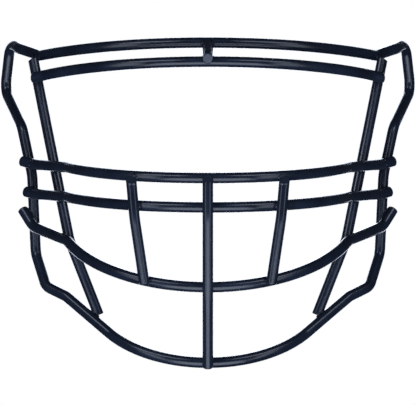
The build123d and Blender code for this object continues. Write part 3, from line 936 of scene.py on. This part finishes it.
@dataclass
class CrossBars:
    """Eye bar, nose bar and jaw bar, each cut square at both ends."""

    shop: WireShop

    def build(self) -> None:
        """Sweeps the three bars."""
        plan = self.shop.plan
        for seed, (node, stations) in enumerate(
            {"eye_bar": plan.eye, "nose_bar": plan.nose, "jaw_bar": plan.jaw}.items(), start=2
        ):
            line = plan.cross_line(stations).joined_across()
            end = square_end(line)
            self.shop.sweep(node, line, end.mirrored(), end, seed=seed)


@dataclass
class Brow:
    """Brow bar and the strut that ties it to the top bar."""

    shop: WireShop
    cut: Vector = field(default_factory=lambda: Vector((0.87, 0.5, 0)))
    strut_cut: Vector = field(default_factory=lambda: Vector((0, -0.98, -0.2)))
    strut_proud: float = 0.65

    def build(self) -> None:
        """Sweeps the bar with slanted ends, and the strut with its front cut off upright."""
        plan = self.shop.plan
        line = plan.brow_line().joined_across()
        end = EndCut(plan.brow_seat + plan.brow_dir * plan.brow_reach, self.cut)
        self.shop.sweep("brow_bar", line, end.mirrored(), end, seed=5)
        strut = CentreLine([plan.top_front])
        strut.run_to(plan.strut_end)
        face = EndCut(plan.brow_front + FORWARD * (plan.wire.radius + self.strut_proud), self.strut_cut)
        self.shop.sweep("brow_strut", strut.points, EndCut(plan.top_front, -plan.strut_dir), face, seed=6)


@dataclass
class SideBars:
    """The two long bars between the brow and the chin."""

    shop: WireShop
    cut: Vector = field(default_factory=lambda: Vector((0.5, 0, 0.87)))

    def build(self) -> None:
        """Sweeps the left bar and its mirror image."""
        plan = self.shop.plan
        stations = [plan.side_top, plan.side_bend, plan.side_foot]
        line = plan.bent_line(stations, plan.wire.tight).points
        top, foot = EndCut(plan.side_end, self.cut), square_end(line)
        self.shop.sweep("side_bar_left", line, top, foot, seed=7)
        other = [mirrored(p) for p in line]
        self.shop.sweep("side_bar_right", other, top.mirrored(), foot.mirrored(), seed=8)


@dataclass
class FrontUprights:
    """Centre wire and the two short uprights, with slanted top cuts that face up and forward."""

    shop: WireShop
    cut: Vector = field(default_factory=lambda: Vector((0, -0.54, 0.84)))

    def build(self) -> None:
        """Sweeps the three wires."""
        plan = self.shop.plan
        line = plan.bent_line(plan.centre_stations, plan.wire.long).points
        self.shop.sweep("centre_wire", line, EndCut(plan.centre_end, self.cut), square_end(line), seed=9)
        line = plan.bent_line(plan.short_stations, plan.wire.long).points
        top, foot = EndCut(plan.short_end, self.cut), square_end(line)
        self.shop.sweep("short_upright_left", line, top, foot, seed=10)
        other = [mirrored(p) for p in line]
        self.shop.sweep("short_upright_right", other, top.mirrored(), foot.mirrored(), seed=11)


# ------------------------------------------------------------------ welds
@dataclass(frozen=True)
class Crossing:
    """Two wires that touch: an axis point and a direction of each, in millimetres."""

    a: Vector
    a_dir: Vector
    b: Vector
    b_dir: Vector
    open_way: Optional[Vector] = None
    width: float = 1.0

    def mirrored(self) -> "Crossing":
        """The same crossing on the other side."""
        way = mirrored(self.open_way) if self.open_way is not None else None
        return Crossing(
            mirrored(self.a), mirrored(self.a_dir), mirrored(self.b), mirrored(self.b_dir), way, self.width
        )


@dataclass
class WeldShop:
    """Makes the ring of metal that a resistance weld squeezes out round a crossing.

    Where a crossing has an open way, towards a wire's cut end, the ring there is narrower and sinks
    into the wires, because no metal stands out beside an end.
    """

    plan: GuardPlan
    tree: bpy.types.NodeTree
    coat: bpy.types.Material
    around: int = 56
    across: int = 7
    sink: float = 0.05
    ripple: float = 0.05
    ripple_length: float = 2.6
    unevenness: float = 0.22
    seed_step: float = 3.7
    open_from: float = 0.75
    open_rate: float = 1.6
    open_width: float = 0.2
    open_sink: float = 0.45
    root_depth: float = 0.35
    root_inset: float = 0.3

    def ring(self, node: str, crossing: Crossing, seed: int) -> bpy.types.Object:
        """Makes one weld and installs it.

        The ring follows the line where the two round wires meet. At each step a concave fillet
        runs from one wire to the other, and its hidden back lies inside both.

        Args:
            node: The CAD node it stands for.
            crossing: The two wires.
            seed: Seed of its shape.

        Returns:
            The installed piece.
        """
        radius = self.plan.wire.radius
        up = (crossing.a - crossing.b).normalized()
        half = (crossing.a - crossing.b).length / 2
        middle = (crossing.a + crossing.b) / 2
        a_dir = (crossing.a_dir - up * crossing.a_dir.dot(up)).normalized()
        b_dir = (crossing.b_dir - up * crossing.b_dir.dot(up)).normalized()
        across = up.cross(a_dir)
        verts: list[Vector] = []
        proud: list[float] = []
        per_step = self.across + 2
        for i in range(self.around):
            phi = 2 * pi * i / self.around
            way = a_dir * cos(phi) + across * sin(phi)
            off_a = way.cross(a_dir).length ** 2
            off_b = way.cross(b_dir).length ** 2
            root = self._crotch(off_a, off_b, half, radius)
            flat = sqrt(root)
            height = root * (off_a - off_b) / (4 * half)
            crotch = middle + way * flat + up * height
            uneven = noise.noise(Vector((cos(phi), sin(phi), seed * self.seed_step)))
            width = crossing.width * (1 + self.unevenness * uneven)
            fade = 1.0
            if crossing.open_way is not None:
                towards = way.dot(crossing.open_way.normalized())
                fade = min(1.0, max(0.0, self.open_from - self.open_rate * towards))
            width *= self.open_width + (1 - self.open_width) * fade
            verts += self._fillet(crossing, crotch, (1 - fade) * self.open_sink, width, radius)
            proud += [0.0] + [sin(pi * k / (self.across - 1)) for k in range(self.across)] + [0.0]
        faces = []
        for i in range(self.around):
            here, ahead = i * per_step, (i + 1) % self.around * per_step
            for k in range(per_step):
                beside = (k + 1) % per_step
                faces.append((here + k, here + beside, ahead + beside, ahead + k))
        mesh = bpy.data.meshes.new(node + "_ring")
        mesh.from_pydata([v * MM for v in verts], [], faces)
        mesh.attributes.new("proud", "FLOAT", "POINT").data.foreach_set("value", proud)
        self._face_outwards(mesh)
        values = {
            "Ripple": self.ripple * MM,
            "Ripple Length": self.ripple_length * MM,
            "Seed": seed,
            "Coat": self.coat,
        }
        return installed(baked(node + "_ring", mesh, self.tree, values), node)

    @staticmethod
    def _crotch(off_a: float, off_b: float, half: float, radius: float) -> float:
        """Squared distance from the contact's axis to where both wires' surfaces meet.

        Args:
            off_a: Squared sine of the angle from wire a's axis.
            off_b: The same from wire b's axis.
            half: Half the distance between the two axes.
            radius: Radius of both wires.

        Returns:
            The squared distance.
        """
        mean = (off_a + off_b) / 2
        slope = (off_a - off_b) / (4 * half)
        left = radius**2 - half**2
        if abs(slope) < 1e-6:
            return left / mean
        return (-mean + sqrt(mean**2 + 4 * slope**2 * left)) / (2 * slope**2)

    def _fillet(
        self, crossing: Crossing, crotch: Vector, lower: float, width: float, radius: float
    ) -> list[Vector]:
        """Points across the ring at one step.

        Args:
            crossing: The two wires.
            crotch: Where their surfaces meet.
            lower: How far the ring is drawn into the wires here.
            width: Distance from the crotch to each foot.
            radius: Radius of both wires.

        Returns:
            Hidden point, foot on wire a, fillet, foot on wire b, hidden point.
        """
        out_a, _ = self._outward(crotch, crossing.a, crossing.a_dir)
        out_b, _ = self._outward(crotch, crossing.b, crossing.b_dir)
        line = out_a.cross(out_b).normalized()
        run_a = line.cross(out_a)
        run_a = run_a if run_a.dot(out_b) > 0 else -run_a
        run_b = line.cross(out_b)
        run_b = run_b if run_b.dot(out_a) > 0 else -run_b
        both = (out_a + out_b).normalized()
        base = crotch - both * lower
        feet = []
        sides = ((run_a, crossing.a, crossing.a_dir), (run_b, crossing.b, crossing.b_dir))
        for run, centre, direction in sides:
            spot = base + run * width
            out, axis = self._outward(spot, centre, direction)
            feet.append(axis + out * (radius - self.sink - lower))
        curve = []
        for k in range(self.across):
            t = k / (self.across - 1)
            curve.append(feet[0] * (1 - t) ** 2 + base * (2 * t * (1 - t)) + feet[1] * t**2)
        inside_a = feet[0] - out_a * self.root_depth - run_a * (self.root_inset * width)
        inside_b = feet[1] - out_b * self.root_depth - run_b * (self.root_inset * width)
        return [inside_a] + curve + [inside_b]

    @staticmethod
    def _outward(point: Vector, centre: Vector, direction: Vector) -> tuple[Vector, Vector]:
        """Unit vector out of a wire's axis to a point, and the axis point it starts from."""
        unit = direction.normalized()
        axis = centre + unit * (point - centre).dot(unit)
        return (point - axis).normalized(), axis

    @staticmethod
    def _face_outwards(mesh: bpy.types.Mesh) -> None:
        """Turns a ring whose faces point inwards."""
        volume = 0.0
        for face in mesh.polygons:
            corners = [mesh.vertices[i].co for i in face.vertices]
            for k in range(1, len(corners) - 1):
                volume += corners[0].dot(corners[k].cross(corners[k + 1]))
        if volume < 0:
            mesh.flip_normals()


@dataclass
class Welds:
    """All thirty welds of the guard."""

    shop: WeldShop
    first_seed: int = 20
    strut_root_along: float = 0.8
    strut_root_gap: float = 1.1

    def build(self) -> None:
        """Makes the six welds on the centre plane and the twelve of each side."""
        seed = self.first_seed
        for name, crossing in self._centre().items():
            self.shop.ring(name, crossing, seed)
            seed += 1
        for name, crossing in self._left().items():
            self.shop.ring(name + "_left", crossing, seed)
            self.shop.ring(name + "_right", crossing.mirrored(), seed + 1)
            seed += 2

    def _centre(self) -> dict[str, Crossing]:
        """Crossings of the centre wire and the strut."""
        plan = self.shop.plan
        top, bend, low, foot = plan.centre_stations
        eye, nose, jaw = plan.eye[0], plan.nose[0], plan.jaw[0]
        lift = UPWARD * self.strut_root_gap
        root = plan.top_front + plan.strut_dir * self.strut_root_along + lift
        under = plan.top_front - lift
        return {
            "weld_centre_eye": Crossing(plan.centre_eye, top - bend, eye, RIGHTWARD, UPWARD),
            "weld_centre_nose": Crossing(plan.centre_nose, top - bend, nose, RIGHTWARD),
            "weld_centre_jaw": Crossing(plan.centre_jaw, bend - low, jaw, RIGHTWARD),
            "weld_centre_frame": Crossing(
                plan.centre_chin, low - foot, plan.chin_front, RIGHTWARD, -UPWARD
            ),
            "weld_strut_frame": Crossing(root, plan.strut_dir, under, RIGHTWARD, -plan.strut_dir),
            "weld_strut_brow": Crossing(
                plan.strut_lap, plan.strut_dir, plan.brow_front, RIGHTWARD, plan.strut_dir
            ),
        }

    def _left(self) -> dict[str, Crossing]:
        """Crossings of the wearer's left half."""
        plan = self.shop.plan
        side, low_side = plan.side_dir, plan.side_bend - plan.side_foot
        eye_run, nose_run, jaw_run = (bar[2] - bar[1] for bar in (plan.eye, plan.nose, plan.jaw))
        eye_end, nose_end, jaw_end = (bar[3] - bar[2] for bar in (plan.eye, plan.nose, plan.jaw))
        short_top, short_bend, short_foot = plan.short_stations
        short_run, short_low = short_top - short_bend, short_bend - short_foot
        seat_eye, seat_nose, seat_jaw = plan.short_seats
        base_eye, base_nose, base_jaw = plan.short_base
        eye_dir, nose_dir, jaw_dir = plan.short_base_dirs
        return {
            "weld_side_frame_top": Crossing(plan.temple, plan.horn_run, plan.kink_seat, side, UPWARD),
            "weld_side_brow": Crossing(
                plan.brow_seat, plan.brow_dir, plan.brow_at_side, side, plan.brow_dir
            ),
            "weld_side_eye": Crossing(plan.side_eye, side, plan.eye_seat, eye_run),
            "weld_side_nose": Crossing(plan.side_nose, side, plan.nose_seat, nose_run),
            "weld_side_jaw": Crossing(plan.jaw_seat, jaw_run, plan.jaw_at_side, side),
            "weld_side_frame_foot": Crossing(
                plan.side_chin, low_side, plan.chin_seat, plan.chin_dir, -UPWARD
            ),
            "weld_frame_eye": Crossing(
                plan.frame_eye, plan.shoulder_run, plan.eye_end_seat, eye_end, eye_end
            ),
            "weld_frame_nose": Crossing(
                plan.frame_nose, plan.waist_run, plan.nose_end_seat, nose_end, nose_end
            ),
            "weld_frame_jaw": Crossing(plan.frame_jaw, plan.waist_run, plan.jaw_end_seat, jaw_end),
            "weld_short_eye": Crossing(seat_eye, short_run, base_eye, eye_dir, UPWARD),
            "weld_short_nose": Crossing(seat_nose, short_run, base_nose, nose_dir),
            "weld_short_jaw": Crossing(seat_jaw, short_low, base_jaw, jaw_dir, -UPWARD),
        }


# ------------------------------------------------------------------ studio
@dataclass(frozen=True)
class SoftBox:
    """A rectangular softbox, given by where it stands round the guard and how large it looks from there.

    Angles are in degrees: azimuth 0 is straight in front, positive towards the wearer's left.
    Brightness is the radiance of its face.
    """

    name: str
    azimuth: float
    elevation: float
    half_width: float
    half_height: float
    brightness: float
    distance: float = 1.1
    colour: str = "e2ecff"

    def build(self) -> bpy.types.Object:
        """Makes the light, aimed at the guard.

        Returns:
            The light object.
        """
        lamp = bpy.data.lights.new(self.name, "AREA")
        lamp.shape = "RECTANGLE"
        lamp.size = 2 * self.distance * tan(radians(self.half_width))
        lamp.size_y = 2 * self.distance * tan(radians(self.half_height))
        lamp.color = srgb(self.colour)[:3]
        lamp.energy = self.brightness * pi * lamp.size * lamp.size_y
        light = bpy.data.objects.new(self.name, lamp)
        turn, tilt = radians(self.azimuth), radians(self.elevation)
        way = Vector((sin(turn) * cos(tilt), -cos(turn) * cos(tilt), sin(tilt)))
        light.location = way * self.distance
        light.rotation_euler = (-way).to_track_quat("-Z", "Y").to_euler()
        light.visible_camera = False
        bpy.context.scene.collection.objects.link(light)
        return light


@dataclass
class Studio:
    """Pale floor, white surround, softboxes and a long-lens camera straight in front."""

    lens: float = 1500.0
    sensor: float = 36.0
    frame_width: float = 0.2407
    shift_x: float = -0.00019
    shift_z: float = 0.00019
    clip_end: float = 100.0
    floor_z: float = -0.156
    floor_half: float = 3.0
    floor_glow: float = 0.45
    surround_dim: float = 0.05
    lights: tuple[SoftBox, ...] = (
        SoftBox("lower_front", 0, -38, 30, 26, 3.1),
        SoftBox("left_front", -46, -2, 8, 28, 2.1),
        SoftBox("right_front", 46, -2, 8, 28, 1.8),
        SoftBox("upper_left", -38, 42, 14, 7, 4.2),
        SoftBox("upper_right", 38, 42, 14, 7, 3.6),
        SoftBox("back_left", -165, 5, 18, 25, 3.0),
        SoftBox("back_right", 165, 5, 18, 25, 3.0),
    )

    def build(self) -> None:
        """Builds floor, surround, lights and camera."""
        self._floor()
        self._surround()
        for box in self.lights:
            box.build()
        self._camera()

    def _floor(self) -> None:
        """A pale matt floor below the guard, which lets the low softbox through."""
        mesh = bpy.data.meshes.new("studio_floor")
        far = self.floor_half
        mesh.from_pydata([(-far, -far, 0), (far, -far, 0), (far, far, 0), (-far, far, 0)], [], [(0, 1, 2, 3)])
        floor = bpy.data.objects.new("studio_floor", mesh)
        # matt uncoated paper with a glow of its own, which gives the eye an even pale ground
        paper = bpy.data.materials.new("pale_studio_paper")
        paper.use_nodes = True
        shader = paper.node_tree.nodes["Principled BSDF"]
        shader.inputs["Base Color"].default_value = srgb("e6e6e4")
        shader.inputs["Roughness"].default_value = 0.9
        shader.inputs["Emission Color"].default_value = srgb("f2f2f0")
        shader.inputs["Emission Strength"].default_value = self.floor_glow
        mesh.materials.append(paper)
        floor.location.z = self.floor_z
        floor.visible_glossy = False
        floor.visible_diffuse = False
        floor.visible_shadow = False
        bpy.context.scene.collection.objects.link(floor)

    def _surround(self) -> None:
        """A dim surround that is seen directly as plain white."""
        world = bpy.data.worlds.new("studio_surround")
        bpy.context.scene.world = world
        world.use_nodes = True
        tree = world.node_tree
        tree.nodes.clear()
        ray = add_node(tree, "ShaderNodeLightPath")
        dim = add_node(tree, "ShaderNodeBackground", {"Color": srgb("c8ccd4"), "Strength": self.surround_dim})
        white = add_node(tree, "ShaderNodeBackground", {"Color": srgb("ffffff"), "Strength": 1.0})
        both = add_node(
            tree, "ShaderNodeMixShader",
            {0: ray.outputs["Is Camera Ray"], 1: dim.outputs[0], 2: white.outputs[0]},
        )
        add_node(tree, "ShaderNodeOutputWorld", {"Surface": both.outputs[0]})

    def _camera(self) -> None:
        """Camera level with the guard's middle, straight in front of it."""
        data = bpy.data.cameras.new("front_camera")
        data.lens = self.lens
        data.sensor_width = self.sensor
        data.clip_end = self.clip_end
        camera = bpy.data.objects.new("front_camera", data)
        camera.location = (self.shift_x, -self.lens / self.sensor * self.frame_width, self.shift_z)
        camera.rotation_euler = (pi / 2, 0, 0)
        bpy.context.scene.collection.objects.link(camera)
        bpy.context.scene.camera = camera
        bpy.context.scene.view_settings.view_transform = "Standard"


def main() -> None:
    """Builds the guard and its studio in order."""
    logging.basicConfig(level=logging.INFO, format="%(name)s: %(message)s")
    plan = GuardPlan()
    coat = NylonCoat().material()
    # over welds the powder lies on rougher metal: duller and more broken up than on drawn wire; its colour is
    # painted a little darker, as painted shade in the crotch between the wires
    weld_coat_with_painted_shade = NylonCoat(
        name="nylon_coat_over_weld_navy_painted_shade", body="151b28", pale="1b2331",
        roughness_low=0.22, roughness_high=0.34, peel_mm=1.1, peel_depth=0.16,
    ).material()
    wires = WireShop(plan, RodTree().build(), coat)
    for assembly in (Frame(wires), CrossBars(wires), Brow(wires), SideBars(wires), FrontUprights(wires)):
        LOG.info("building %s", type(assembly).__name__)
        assembly.build()
    Welds(WeldShop(plan, BeadTree().build(), weld_coat_with_painted_shade)).build()
    Studio().build()


if __name__ == "__main__":
    main()
